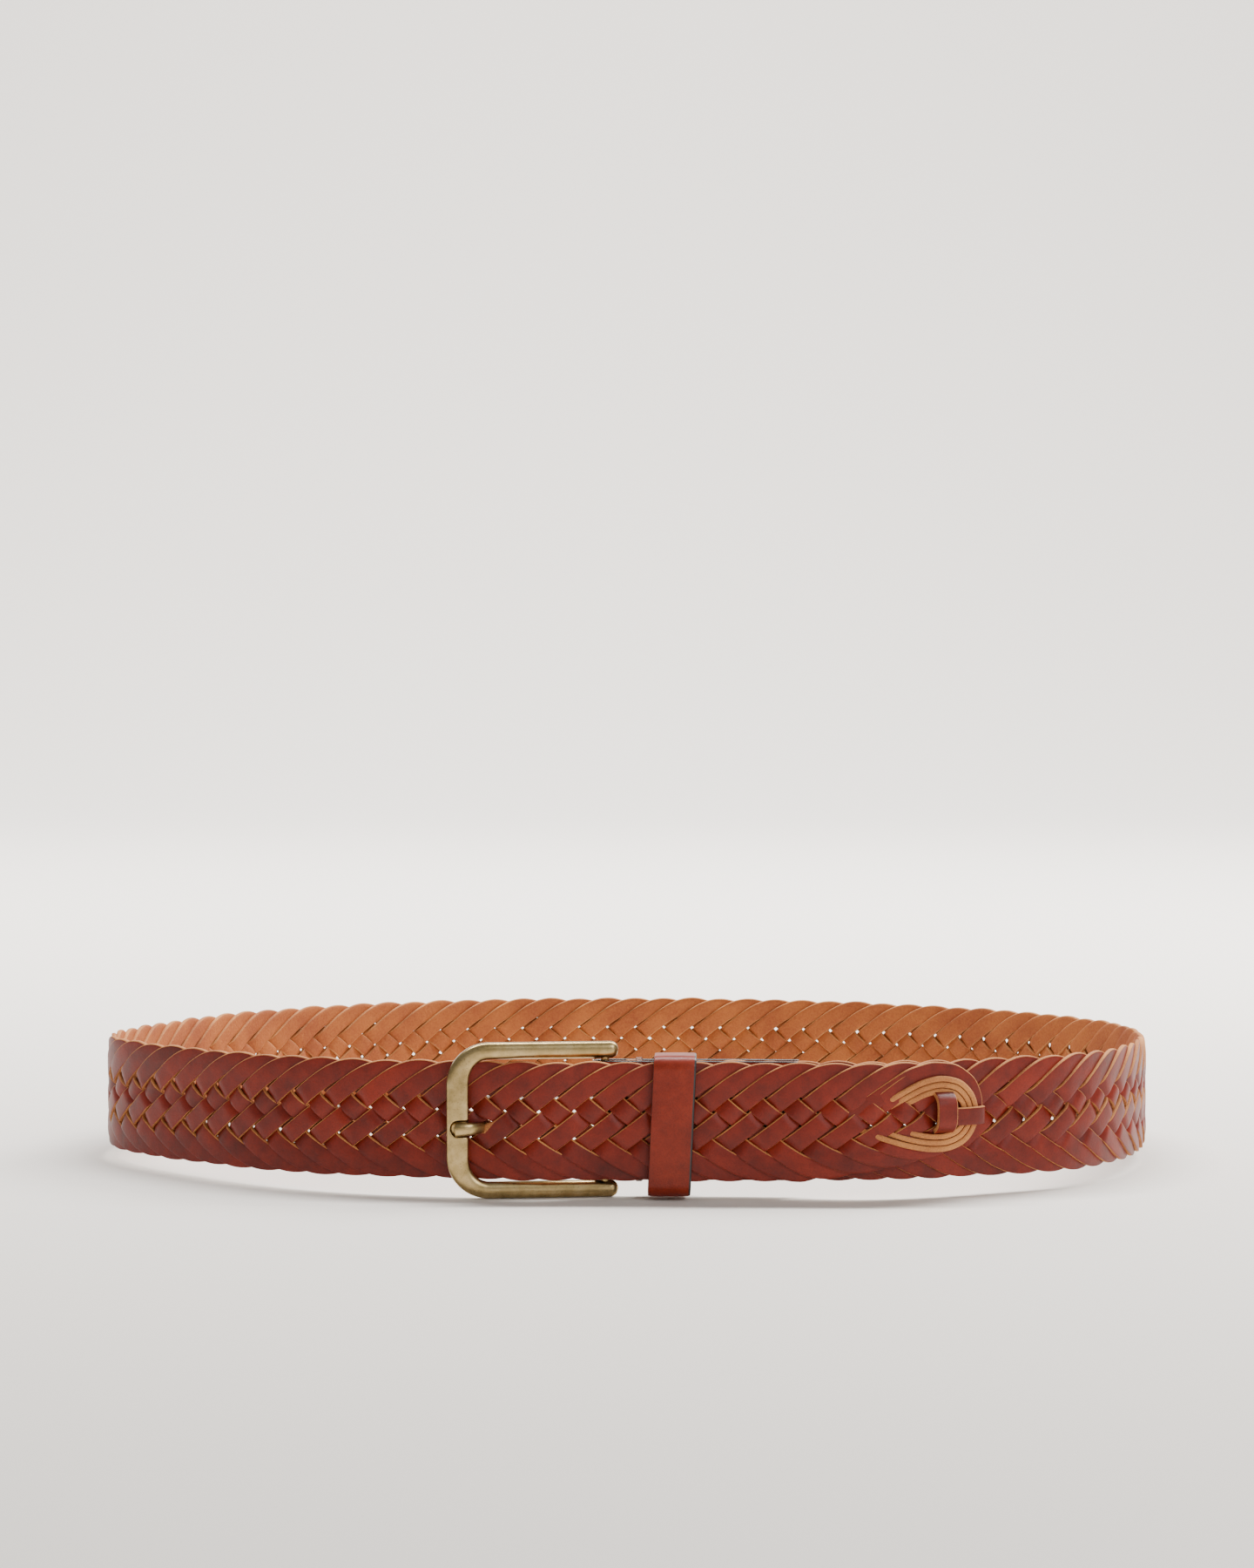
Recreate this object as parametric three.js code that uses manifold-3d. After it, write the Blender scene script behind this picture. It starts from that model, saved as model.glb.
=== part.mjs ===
// A buckled braided leather belt that stands on its edge as an oval loop.
// Millimetres, +Z up; the origin is the middle of the footprint, on the surface the belt stands on.
// Ten flat leather strands are braided into the strap. A smooth tab folded round the buckle's bar
// grips their ends, and the free end passes the buckle, the prong and the keeper and lies outside.
import * as THREE from "three";
import { mergeVertices } from "three/addons/utils/BufferGeometryUtils.js";
import Module from "manifold-3d";

const wasm = await Module();
wasm.setup();

// Driving dimensions
const BELT_WIDTH = 35;
const GAP = 0.3; // clearance between neighbouring pieces
const LIFT = 5.5; // how high the buckle holds the strap's lower edge at the front
const STRAND_COUNT = 10;
const STRAND_WIDTH = 5;
const STRAND_THICKNESS = 0.9;
const BRAID_PITCH = 10.2; // from one scallop of the edge to the next
const TAB_LEATHER = 1.4;
const TAB_LENGTH = 57;
const KEEPER_LEATHER = 1.8;
const KEEPER_WIDTH = 12.4;
const KEEPER_AT = 20.3; // all places along the strap are counted from the bar
const KEEPER_TRAVEL = 2.5;
const KEEPER_ROOM = 1.3; // over and under the strap
const KEEPER_SAG = 1; // the keeper hangs from its upper side
const TAIL_LENGTH = 112.5;
const TIP_LENGTH = 21;
const TIP_END_HEIGHT = 6;
const TAPER_LENGTH = 50; // the lower edge rises towards the tip over this length
const TAPER_RISE = 6;
const FRAME_THICKNESS = 4;
const FRAME_BAR_WIDTH = 6.5;
const FRAME_ARM_HEIGHT = 5;
const FRAME_ARM_END = 4;
const FRAME_CORNER = 12.5;
const FRAME_BEVEL = 0.7;
const BAR_RADIUS = 1.25;
const BAR_FIT = 0.15;
const BAR_SEAT = 3; // how far each end of the bar sits in its arm
const ARM_ROOM = 0.5; // from the strap's edge to each arm
const PRONG_WIDTH = 3.6;
const PRONG_THICKNESS = 2.4;
const PRONG_TIP = 2; // past the middle of the front bar
const PRONG_DIP = 3.2; // how far the shank lies behind the frame
const NOTCH_DEPTH = 1;
const PRONG_RISE = 5; // the shank comes up through the braid over twice this length
const HOLE_AT = 34; // the prong comes through the braid this far before the bar
const FRONT_BAR_PAST_HOLE = 9.5; // from the prong's hole to the middle of the front bar
const PLAY_DEG = 2; // free swing of the prong in its hole
const BULGE = 2.5; // the strap rides out over the prong's shank
const THREAD = 1;
const END_ALLOWANCE = 4; // a strand is made this much too long, then cut square
const STITCH_AT = 10.3;
const STITCH_LENGTH = 4;

// The loop seen from above, counter-clockwise, starting at the buckle's bar
const LOOP_POINTS = [
  [-7, -86.5], [30, -88], [84, -88], [140, -54], [163, 0], [156, 61], [112, 115],
  [37, 149], [-51, 147], [-118, 107], [-152, 54], [-163, 0], [-129, -45], [-84, -74],
];

// A strand's middle to the strap's middle, where it runs over or under a crossing
const layerOffset = STRAND_THICKNESS / 2 + 2 * GAP;
const strapThickness = 2 * layerOffset + STRAND_THICKNESS;
const halfStrap = strapThickness / 2;
const tabSpread = halfStrap + GAP + TAB_LEATHER / 2; // strap's middle to a leaf's middle
const tabInset = tabSpread + TAB_LEATHER / 2 + GAP + halfStrap; // gripped end, inside the free end
const lapInset = strapThickness + 2 * GAP;
const frontBarOut = halfStrap + 3 * GAP + FRAME_THICKNESS / 2;
const waveHeight = (BELT_WIDTH - STRAND_WIDTH) / 2;
const frameReach = HOLE_AT + FRONT_BAR_PAST_HOLE; // hinge bar to the middle of the front bar
const keeperEnd = KEEPER_AT + KEEPER_WIDTH / 2;
const cutAt = keeperEnd + KEEPER_TRAVEL + GAP;
const wovenStart = BAR_RADIUS + TAB_LEATHER + FRAME_ARM_END;

const loop = new THREE.CatmullRomCurve3(
  LOOP_POINTS.map(([x, y]) => new THREE.Vector3(x, y, 0)),
  true,
);
loop.arcLengthDivisions = 2000;
const loopLength = loop.getLength();
const backY = Math.max(...LOOP_POINTS.map((p) => p[1]));
const frontY = LOOP_POINTS[0][1];
const braidStart = (loopLength - HOLE_AT) % BRAID_PITCH;

// How far the strap's middle lies outside the loop's line, counted along the whole strap.
function strapOut(s) {
  const beforeBar = loopLength - s;
  if (s < loopLength / 2) {
    const inTab = THREE.MathUtils.smoothstep(s, TAB_LENGTH, TAB_LENGTH + BELT_WIDTH / 2);
    const pastTip = THREE.MathUtils.smoothstep(s, TAIL_LENGTH, TAIL_LENGTH + BELT_WIDTH);
    return -(tabInset + (lapInset - tabInset) * inTab) * (1 - pastTip);
  }
  const inFrame = frameReach - FRAME_BAR_WIDTH / 2;
  if (beforeBar < 0 || beforeBar > inFrame) return 0;
  return (BULGE * (1 - Math.cos((2 * Math.PI * beforeBar) / inFrame))) / 2;
}

// A point from its place along the loop, its height over the strap's middle and its way out.
function place(s, up, out) {
  const share = THREE.MathUtils.euclideanModulo(s / loopLength, 1);
  const p = loop.getPointAt(share);
  const t = loop.getTangentAt(share);
  const lift = (LIFT * (backY - p.y)) / (backY - frontY);
  return new THREE.Vector3(p.x + t.y * out, p.y - t.x * out, lift + BELT_WIDTH / 2 + up);
}

// Moves every vertex of a geometry by a rule from its old place to its new one.
function bend(geometry, rule) {
  const at = geometry.attributes.position;
  for (let i = 0; i < at.count; i++) {
    const p = rule(at.getX(i), at.getY(i), at.getZ(i));
    at.setXYZ(i, p.x, p.y, p.z);
  }
  return geometry;
}

function solid(geometry) {
  const bare = geometry.clone();
  bare.deleteAttribute("normal");
  bare.deleteAttribute("uv");
  const merged = mergeVertices(bare, 1e-4);
  const vertProperties = new Float32Array(merged.attributes.position.array);
  const triVerts = new Uint32Array(merged.index.array);
  return new wasm.Manifold(new wasm.Mesh({ numProp: 3, vertProperties, triVerts }));
}

function geometryOf(made) {
  const mesh = made.getMesh();
  const geometry = new THREE.BufferGeometry();
  geometry.setAttribute("position", new THREE.BufferAttribute(mesh.vertProperties, 3));
  geometry.setIndex(new THREE.BufferAttribute(mesh.triVerts, 1));
  geometry.computeVertexNormals();
  return geometry;
}

const leather = { color: 0x9a5532, roughness: 0.6, metalness: 0 };
const smoothLeather = { color: 0xa8663c, roughness: 0.5, metalness: 0 };
const brass = { color: 0xa08a5c, roughness: 0.35, metalness: 1 };
const thread = { color: 0x5a3a26, roughness: 0.8, metalness: 0 };

const belt = new THREE.Group();

function add(parent, name, geometry, looks) {
  const mesh = new THREE.Mesh(geometry, new THREE.MeshStandardMaterial(looks));
  mesh.name = name;
  parent.add(mesh);
}

// Braid: half a pitch apart along a strand are its crossings, in nine rows from edge to edge.
// Each key is a crossing counted from the strand's upper turn, with the layer it runs in there.
const ROWS_PER_TURN = STRAND_COUNT;
const LAYER_KEYS = [
  [0, 0], [1, -0.67], [3, -1], [4, 1], [5, -1], [6, -1], [7, 1], [9, 0.67],
  [10, 0], [11, -0.67], [13, -1], [14, 1], [15, 1], [16, -1], [17, 1], [19, 0.67], [20, 0],
];
const rowStep = BRAID_PITCH / 2;
const wavePeriod = 2 * ROWS_PER_TURN * rowStep;

function layerAt(u) {
  const row = THREE.MathUtils.euclideanModulo(u / rowStep, 2 * ROWS_PER_TURN);
  const next = LAYER_KEYS.findIndex(([key]) => key > row);
  const [fromRow, from] = LAYER_KEYS[next - 1];
  const [toRow, to] = LAYER_KEYS[next];
  return layerOffset * (from + ((to - from) * (row - fromRow)) / (toRow - fromRow));
}

// The lower edge draws in towards the tip.
function taper(s, up) {
  const toTip = loopLength + TAIL_LENGTH - s;
  if (up > 0 || toTip > TAPER_LENGTH) return up;
  const share = 1 - toTip / TAPER_LENGTH;
  return up * (1 - (TAPER_RISE * share) / (BELT_WIDTH / 2));
}

// One strand between two places along the strap, as a four-sided bar with thin edges. It runs on
// past both places, and plane cuts end it there.
function strand(index, from, to) {
  const start = braidStart + index * BRAID_PITCH;
  const sections = [from - END_ALLOWANCE];
  for (let turn = -2; start + turn * wavePeriod < to; turn++) {
    for (const [row] of LAYER_KEYS.slice(0, -1)) {
      const s = start + turn * wavePeriod + row * rowStep;
      if (s > sections[0] + GAP && s < to + END_ALLOWANCE - GAP) sections.push(s);
    }
  }
  sections.push(to + END_ALLOWANCE);
  const last = sections.length - 1;
  const bar = new THREE.CylinderGeometry(1, 1, last, 4, last);
  bend(bar, (x, y, z) => {
    const s = sections[Math.round(last / 2 - y)];
    const angle = (2 * Math.PI * (s - start)) / wavePeriod;
    const slope = (-waveHeight * 2 * Math.PI * Math.sin(angle)) / wavePeriod;
    const side = (x * STRAND_WIDTH) / 2 / Math.hypot(1, slope);
    const ds = -slope * side;
    const out = strapOut(s + ds) + layerAt(s - start) + (z * STRAND_THICKNESS) / 2;
    return place(s + ds, taper(s + ds, waveHeight * Math.cos(angle) + side), out);
  });
  return solid(bar).subtract(cutter(from, -1)).subtract(cutter(to, 1));
}

// A block across one layer of the strap, on one side of a place along it
function cutter(s, side) {
  const length = 3 * END_ALLOWANCE;
  const block = new THREE.BoxGeometry(length, strapThickness + GAP, 2 * BELT_WIDTH);
  block.translate((side * length) / 2, 0, 0);
  const tangent = loop.getTangentAt((s / loopLength) % 1);
  block.rotateZ(Math.atan2(tangent.y, tangent.x));
  const { x, y, z } = place(s, 0, strapOut(s));
  return solid(block.translate(x, y, z));
}

// Buckle: a frame open on the strap's side, turned so that its front bar lies outside the strap
// and its hinge bar inside it.
const buckle = new THREE.Group();
const barCentre = place(0, 0, -tabInset);
const frontCentre = place(loopLength - frameReach, 0, frontBarOut);
buckle.position.copy(barCentre);
buckle.rotation.z = Math.atan2(barCentre.y - frontCentre.y, barCentre.x - frontCentre.x);
buckle.updateMatrixWorld(true);
belt.add(buckle);

const innerHalf = BELT_WIDTH / 2 + ARM_ROOM;
const outerHalf = innerHalf + FRAME_ARM_HEIGHT;

function frameSolid() {
  const left = -frameReach - FRAME_BAR_WIDTH / 2 + FRAME_BEVEL;
  const inLeft = -frameReach + FRAME_BAR_WIDTH / 2 - FRAME_BEVEL;
  const outer = outerHalf - FRAME_BEVEL;
  const inner = innerHalf + FRAME_BEVEL;
  const end = FRAME_ARM_END - (outer - inner) / 2 - FRAME_BEVEL;
  const mid = (outer + inner) / 2;
  const round = (outer - inner) / 2;
  const corner = FRAME_CORNER - FRAME_BEVEL;
  const inCorner = FRAME_CORNER - FRAME_BAR_WIDTH;
  const shape = new THREE.Shape();
  shape.moveTo(left + corner, outer);
  shape.absarc(left + corner, outer - corner, corner, Math.PI / 2, Math.PI, false);
  shape.absarc(left + corner, corner - outer, corner, Math.PI, 1.5 * Math.PI, false);
  shape.absarc(end, -mid, round, -Math.PI / 2, Math.PI / 2, false);
  shape.absarc(inLeft + inCorner, inCorner - inner, inCorner, 1.5 * Math.PI, Math.PI, true);
  shape.absarc(inLeft + inCorner, inner - inCorner, inCorner, Math.PI, Math.PI / 2, true);
  shape.absarc(end, mid, round, -Math.PI / 2, Math.PI / 2, false);
  const plate = new THREE.ExtrudeGeometry(shape, {
    depth: FRAME_THICKNESS - 2 * FRAME_BEVEL,
    bevelThickness: FRAME_BEVEL,
    bevelSize: FRAME_BEVEL,
    bevelSegments: 2,
    curveSegments: 7,
  });
  plate.translate(0, 0, FRAME_BEVEL - FRAME_THICKNESS / 2);
  plate.rotateX(Math.PI / 2);
  const bore = new THREE.CylinderGeometry(
    BAR_RADIUS + BAR_FIT, BAR_RADIUS + BAR_FIT, 2 * (innerHalf + BAR_SEAT + BAR_FIT), 12,
  );
  bore.rotateX(Math.PI / 2);
  const notch = new THREE.BoxGeometry(
    2 * FRAME_BAR_WIDTH, 2 * NOTCH_DEPTH, PRONG_WIDTH + 2 * GAP,
  );
  notch.translate(-frameReach, -FRAME_THICKNESS / 2, 0);
  return solid(plate).subtract(solid(bore)).subtract(solid(notch));
}

// The prong: an eye round the bar, and a shank that dips behind the strap and rises to the notch.
function prongSolid(grow) {
  const seat = -FRAME_THICKNESS / 2 + NOTCH_DEPTH - GAP - PRONG_THICKNESS / 2;
  const eye = BAR_RADIUS + GAP;
  const path = new THREE.CatmullRomCurve3([
    new THREE.Vector3(-eye, eye, 0),
    new THREE.Vector3(-HOLE_AT / 3, PRONG_DIP * 0.8, 0),
    new THREE.Vector3(-HOLE_AT + PRONG_RISE, PRONG_DIP, 0),
    new THREE.Vector3(-HOLE_AT, PRONG_DIP / 6, 0),
    new THREE.Vector3(-HOLE_AT - PRONG_RISE, seat, 0),
    new THREE.Vector3(-frameReach - PRONG_TIP, seat, 0),
  ]);
  const outline = new THREE.Shape();
  outline.absellipse(0, 0, PRONG_WIDTH / 2 + grow, PRONG_THICKNESS / 2 + grow, 0, 2 * Math.PI);
  const section = new THREE.Shape(outline.getSpacedPoints(10).slice(0, -1));
  const upright = new THREE.ExtrudeGeometry(section, { extrudePath: path, steps: 16 });
  return solid(upright);
}

function prongEye() {
  const outer = BAR_RADIUS + GAP + PRONG_THICKNESS / 2;
  const shape = new THREE.Shape();
  shape.absarc(0, 0, outer, 0, 2 * Math.PI, false);
  const ring = new THREE.ExtrudeGeometry(shape, {
    depth: PRONG_WIDTH,
    bevelEnabled: false,
    curveSegments: 8,
  });
  ring.translate(0, 0, -PRONG_WIDTH / 2);
  return solid(ring);
}

const barBore = new THREE.CylinderGeometry(
  BAR_RADIUS + GAP, BAR_RADIUS + GAP, BELT_WIDTH, 12,
);
barBore.rotateX(Math.PI / 2);
const prong = prongSolid(0).add(prongEye()).subtract(solid(barBore));

const hingeBar = new THREE.CylinderGeometry(
  BAR_RADIUS, BAR_RADIUS, 2 * (innerHalf + BAR_SEAT), 12,
);
hingeBar.rotateX(Math.PI / 2);

add(buckle, "buckle_frame", geometryOf(frameSolid()), brass);
add(buckle, "buckle_bar", hingeBar, brass);
add(buckle, "prong", geometryOf(prong), brass);

// The room the prong needs in the braid, from its rest to the end of its free swing
const swing = [0, 0.5, 1].map((share) => THREE.MathUtils.degToRad(PLAY_DEG * share));
const prongRoom = swing
  .map((angle) => {
    const turned = geometryOf(prongSolid(GAP)).rotateZ(angle);
    return solid(turned.applyMatrix4(buckle.matrixWorld));
  })
  .reduce((all, one) => all.add(one));

const tipStart = loopLength + TAIL_LENGTH - TIP_LENGTH;
for (let index = 0; index < STRAND_COUNT; index++) {
  const number = String(index + 1).padStart(2, "0");
  const run = strand(index, wovenStart, loopLength + cutAt - GAP);
  add(belt, "strand_" + number, geometryOf(run.subtract(prongRoom)), leather);
  const free = strand(index, loopLength + cutAt + GAP, tipStart - GAP);
  add(belt, "tail_strand_" + number, geometryOf(free), leather);
}

// The tip, where the strips turn back into the braid
const tip = new THREE.BoxGeometry(TIP_LENGTH, strapThickness, 2, 8, 1, 4);
bend(tip, (x, y, z) => {
  const share = x / TIP_LENGTH + 0.5;
  const s = tipStart + share * TIP_LENGTH;
  const narrow = 1 - (1 - TIP_END_HEIGHT / BELT_WIDTH) * (1 - Math.cos((share * Math.PI) / 2));
  return place(s, taper(s, (z * BELT_WIDTH * narrow) / 2), -y);
});
add(belt, "folded_tip", tip, leather);

// The tab: one strip folded round the bar, with a slot in the fold for the prong. Its leaves are
// followed from the end of the outer one, round the bar, to the end of the inner one.
const LEAF_STEPS = 10;
const FOLD_STEPS = 8;

function tabSolid() {
  const stations = [];
  for (let i = 0; i <= LEAF_STEPS; i++) {
    stations.push({ s: TAB_LENGTH * (1 - i / LEAF_STEPS), along: 0, across: 1 });
  }
  for (let i = 1; i < FOLD_STEPS; i++) {
    const angle = Math.PI / 2 - (Math.PI * i) / FOLD_STEPS;
    stations.push({ s: 0, along: -Math.cos(angle), across: Math.sin(angle) });
  }
  for (let i = 0; i <= LEAF_STEPS; i++) {
    stations.push({ s: (TAB_LENGTH * i) / LEAF_STEPS, along: 0, across: -1 });
  }
  const last = stations.length - 1;
  const strip = new THREE.BoxGeometry(last, TAB_LEATHER, BELT_WIDTH - 2 * GAP, last, 1, 1);
  bend(strip, (x, y, z) => {
    const { s, along, across } = stations[Math.round(x + last / 2)];
    const r = tabSpread + y;
    return place(s + along * r, z, across * r - tabInset);
  });
  const slot = new THREE.BoxGeometry(
    4 * tabSpread, 4 * tabSpread, PRONG_WIDTH + 4 * GAP,
  );
  slot.applyMatrix4(buckle.matrixWorld);
  return solid(strip).subtract(solid(slot));
}
add(belt, "buckle_tab", geometryOf(tabSolid()), smoothLeather);

// The keeper: a band that holds the free end against the strap
const packInside = tabInset + tabSpread + TAB_LEATHER / 2;
function keeperSolid() {
  const inner = halfStrap + GAP;
  const innerBack = packInside + GAP;
  const high = BELT_WIDTH / 2 + KEEPER_ROOM;
  const t = KEEPER_LEATHER;
  const soft = t / 2;
  const shape = new THREE.Shape();
  shape.absarc(high - soft, soft - innerBack, t + soft, -Math.PI / 2, 0, false);
  shape.absarc(high - soft, inner - soft, t + soft, 0, Math.PI / 2, false);
  shape.absarc(soft - high, inner - soft, t + soft, Math.PI / 2, Math.PI, false);
  shape.absarc(soft - high, soft - innerBack, t + soft, Math.PI, 1.5 * Math.PI, false);
  const hollow = new THREE.Path();
  hollow.moveTo(-high, -innerBack);
  hollow.lineTo(-high, inner);
  hollow.lineTo(high, inner);
  hollow.lineTo(high, -innerBack);
  shape.holes.push(hollow);
  const band = new THREE.ExtrudeGeometry(shape, {
    depth: KEEPER_WIDTH,
    bevelEnabled: false,
    curveSegments: 4,
    steps: 2,
  });
  return bend(band, (x, y, z) => place(KEEPER_AT - KEEPER_WIDTH / 2 + z, x - KEEPER_SAG, y));
}
add(belt, "keeper", keeperSolid(), smoothLeather);

// Tack stitches: thread over the tab's two edges, close to the buckle
function stitch(side) {
  const outerEnd = tabSpread + TAB_LEATHER / 2;
  const inner = -outerEnd - GAP;
  const edge = BELT_WIDTH / 2 + GAP / 2;
  const inEdge = edge - STITCH_LENGTH;
  const shape = new THREE.Shape();
  shape.moveTo(edge, outerEnd);
  shape.lineTo(edge, inner);
  shape.lineTo(inEdge, inner);
  shape.lineTo(inEdge, inner - THREAD);
  shape.lineTo(edge + THREAD, inner - THREAD);
  shape.lineTo(edge + THREAD, outerEnd);
  const bent = new THREE.ExtrudeGeometry(shape, { depth: THREAD, bevelEnabled: false });
  return bend(bent, (x, y, z) => place(STITCH_AT + side * z, side * x, y - tabInset));
}
add(belt, "stitch_top", stitch(1), thread);
add(belt, "stitch_bottom", stitch(-1), thread);

// The origin goes to the middle of the footprint.
belt.updateMatrixWorld(true);
const box = new THREE.Box3().setFromObject(belt, true);
const middle = box.getCenter(new THREE.Vector3());
belt.position.set(-middle.x, -middle.y, -box.min.z);

export default belt;
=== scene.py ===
# %% [markdown]
# # A braided leather belt
# The belt stands on its edge as an oval loop. Its solids are already designed and packed, and this
# lesson dresses them: flat leather strands, an antique brass buckle, a keeper and a tab. First the
# imported model is loaded as a fixed frame.

# %% Load the frame
import math

import bmesh
import bpy
import numpy as np
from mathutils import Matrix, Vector


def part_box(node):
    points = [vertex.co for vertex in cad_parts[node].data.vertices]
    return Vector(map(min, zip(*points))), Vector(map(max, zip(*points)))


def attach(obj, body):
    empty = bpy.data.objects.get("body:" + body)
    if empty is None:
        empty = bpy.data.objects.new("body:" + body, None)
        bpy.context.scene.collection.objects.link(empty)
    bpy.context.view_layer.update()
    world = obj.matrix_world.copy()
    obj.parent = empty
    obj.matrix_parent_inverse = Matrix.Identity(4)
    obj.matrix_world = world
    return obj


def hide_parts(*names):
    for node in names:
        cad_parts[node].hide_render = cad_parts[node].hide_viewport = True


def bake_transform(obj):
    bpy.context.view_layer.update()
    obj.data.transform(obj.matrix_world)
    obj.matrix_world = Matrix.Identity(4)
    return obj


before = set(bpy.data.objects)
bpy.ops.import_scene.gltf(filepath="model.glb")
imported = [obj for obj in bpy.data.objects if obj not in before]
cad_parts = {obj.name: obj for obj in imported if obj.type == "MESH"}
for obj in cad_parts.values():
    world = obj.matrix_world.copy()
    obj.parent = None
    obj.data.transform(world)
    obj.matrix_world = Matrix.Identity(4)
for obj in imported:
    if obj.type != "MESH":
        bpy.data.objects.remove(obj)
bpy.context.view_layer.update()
MM = 0.001

# %% [markdown]
# ## Colours and nodes
# Colours are written as the hex values a painter would pick on a screen, and one function turns
# them to the linear values the shader works in. One small function adds a shader node, with its
# settings and its links, so that each material below reads as a list of steps.

# %% Colour and node helpers
def linear(hex_value):
    """An sRGB hex colour as linear RGBA."""
    parts = [int(hex_value[i : i + 2], 16) / 255 for i in (1, 3, 5)]
    return [c / 12.92 if c <= 0.04045 else ((c + 0.055) / 1.055) ** 2.4 for c in parts] + [1]


def grey(value):
    return [value, value, value, 1]


def per_mm(size):
    """A texture scale, in cells per metre, from the size of one cell in millimetres."""
    return 1 / (size * MM)


def add_node(material, kind, links=None, stops=None, **settings):
    """Adds a shader node.

    Settings name its properties or inputs, links give its inputs' sources, and stops are the
    (place, colour) pairs of a colour ramp.
    """
    tree = material.node_tree
    made = tree.nodes.new("ShaderNode" + kind)
    for key, value in settings.items():
        if hasattr(made, key):
            setattr(made, key, value)
        else:
            made.inputs[key.replace("_", " ")].default_value = value
    for key, source in (links or {}).items():
        tree.links.new(source, made.inputs[key])
    if stops:
        elements = made.color_ramp.elements
        while len(elements) < len(stops):
            elements.new(0.5)
        for element, (at, colour) in zip(elements, stops):
            element.position = at
            element.color = colour
    return made


def mean_of(material, first, second):
    """The mean of two grey textures."""
    total = add_node(material, "Math", {0: first, 1: second}, operation="ADD")
    half = add_node(material, "Math", {0: total.outputs[0]}, operation="MULTIPLY")
    half.inputs[1].default_value = 0.5
    return half.outputs[0]


def new_material(name, **settings):
    """An empty material with a Principled shader, and that shader's node."""
    material = bpy.data.materials.new(name)
    material.use_nodes = True
    shader = material.node_tree.nodes["Principled BSDF"]
    for key, value in settings.items():
        shader.inputs[key.replace("_", " ")].default_value = value
    return material, shader


# %% [markdown]
# ## Leather, grain side
# The face of the strands is vegetable tanned leather, dyed a red cognac and lightly waxed. The dye
# takes unevenly along a hide, so each strand has its own tone and slow clouds of darker colour,
# 6 mm wide. The grain is a net of pores 0.45 mm apart, which shows as a soft bump and a slight
# darkening. The wax lies unevenly, so roughness varies a little too. Each strand carries a UV map,
# with its length in metres plus an offset of its own, so one noise gives every strand another tone.

# %% Grain side of the strands
TONES_PER_METRE = 7


def leather_face(name, dark, middle, light, roughness):
    material, shader = new_material(name, Specular_IOR_Level=0.25)
    link = material.node_tree.links.new
    at = add_node(material, "TexCoord").outputs
    along = add_node(material, "SeparateXYZ", {"Vector": at["UV"]}).outputs["X"]
    tone = add_node(
        material, "TexNoise", {"Vector": along}, Scale=TONES_PER_METRE, Detail=1
    ).outputs["Fac"]
    cloud = add_node(
        material, "TexNoise", {"Vector": at["Object"]}, Scale=per_mm(6), Detail=4, Roughness=0.6
    ).outputs["Fac"]
    dye = mean_of(material, tone, cloud)
    colour = add_node(
        material, "ValToRGB", {"Fac": dye}, [(0.33, dark), (0.5, middle), (0.67, light)]
    ).outputs["Color"]
    pores = add_node(
        material, "TexNoise", {"Vector": at["Object"]}, Scale=per_mm(0.45), Detail=2
    ).outputs["Fac"]
    pore_tint = add_node(
        material, "ValToRGB", {"Fac": pores}, [(0.35, grey(0.78)), (0.55, grey(1.0))]
    ).outputs["Color"]
    tinted = add_node(
        material, "MixRGB", {"Color1": colour, "Color2": pore_tint}, blend_type="MULTIPLY", Fac=0.8
    )
    link(tinted.outputs[0], shader.inputs["Base Color"])
    rough = add_node(
        material, "MapRange", {"Value": cloud}, To_Min=roughness - 0.07, To_Max=roughness + 0.1
    )
    link(rough.outputs[0], shader.inputs["Roughness"])
    bump = add_node(material, "Bump", {"Height": pores}, Strength=0.35, Distance=0.12 * MM)
    wave = add_node(
        material, "Bump", {"Height": cloud, "Normal": bump.outputs[0]},
        Strength=0.3, Distance=0.5 * MM,
    )
    link(wave.outputs[0], shader.inputs["Normal"])
    return material


strand_face = leather_face(
    "cognac_veg_tan_grain", linear("#4E130A"), linear("#6C1B0E"), linear("#802513"), 0.42
)
band_face = leather_face(
    "cognac_veg_tan_smooth", linear("#661A0B"), linear("#7A2411"), linear("#8C3018"), 0.38
)
print("grain sides", strand_face.name, "and", band_face.name)

# %% [markdown]
# ## Leather, flesh side and cut edges
# The back of the strands is the bare flesh side: undyed tan with an orange cast, matt, with a nap
# of loose fibres. The cut edges are the raw middle of the hide, a lighter and more yellow tan with
# finer fibres. Both have clouds 14 mm wide, as the hide drank its oils unevenly.

# %% Flesh side and cut edges
def bare_leather(name, dark, light, fibre_mm, roughness):
    material, shader = new_material(name, Roughness=roughness)
    link = material.node_tree.links.new
    at = add_node(material, "TexCoord").outputs
    fibre = add_node(
        material, "TexNoise", {"Vector": at["Object"]},
        Scale=per_mm(fibre_mm), Detail=4, Roughness=0.65,
    ).outputs["Fac"]
    cloud = add_node(
        material, "TexNoise", {"Vector": at["Object"]}, Scale=per_mm(14), Detail=3
    ).outputs["Fac"]
    tan = mean_of(material, fibre, cloud)
    colour = add_node(material, "ValToRGB", {"Fac": tan}, [(0.36, dark), (0.64, light)])
    link(colour.outputs["Color"], shader.inputs["Base Color"])
    bump = add_node(material, "Bump", {"Height": fibre}, Strength=0.85, Distance=0.25 * MM)
    link(bump.outputs[0], shader.inputs["Normal"])
    return material


strand_back = bare_leather("tan_flesh_side", linear("#8A4014"), linear("#AB5F24"), 0.7, 0.78)
cut_edge = bare_leather("raw_cut_edge", linear("#8C4C24"), linear("#C58448"), 0.35, 0.8)
print("bare leather", strand_back.name, "and", cut_edge.name)
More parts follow.
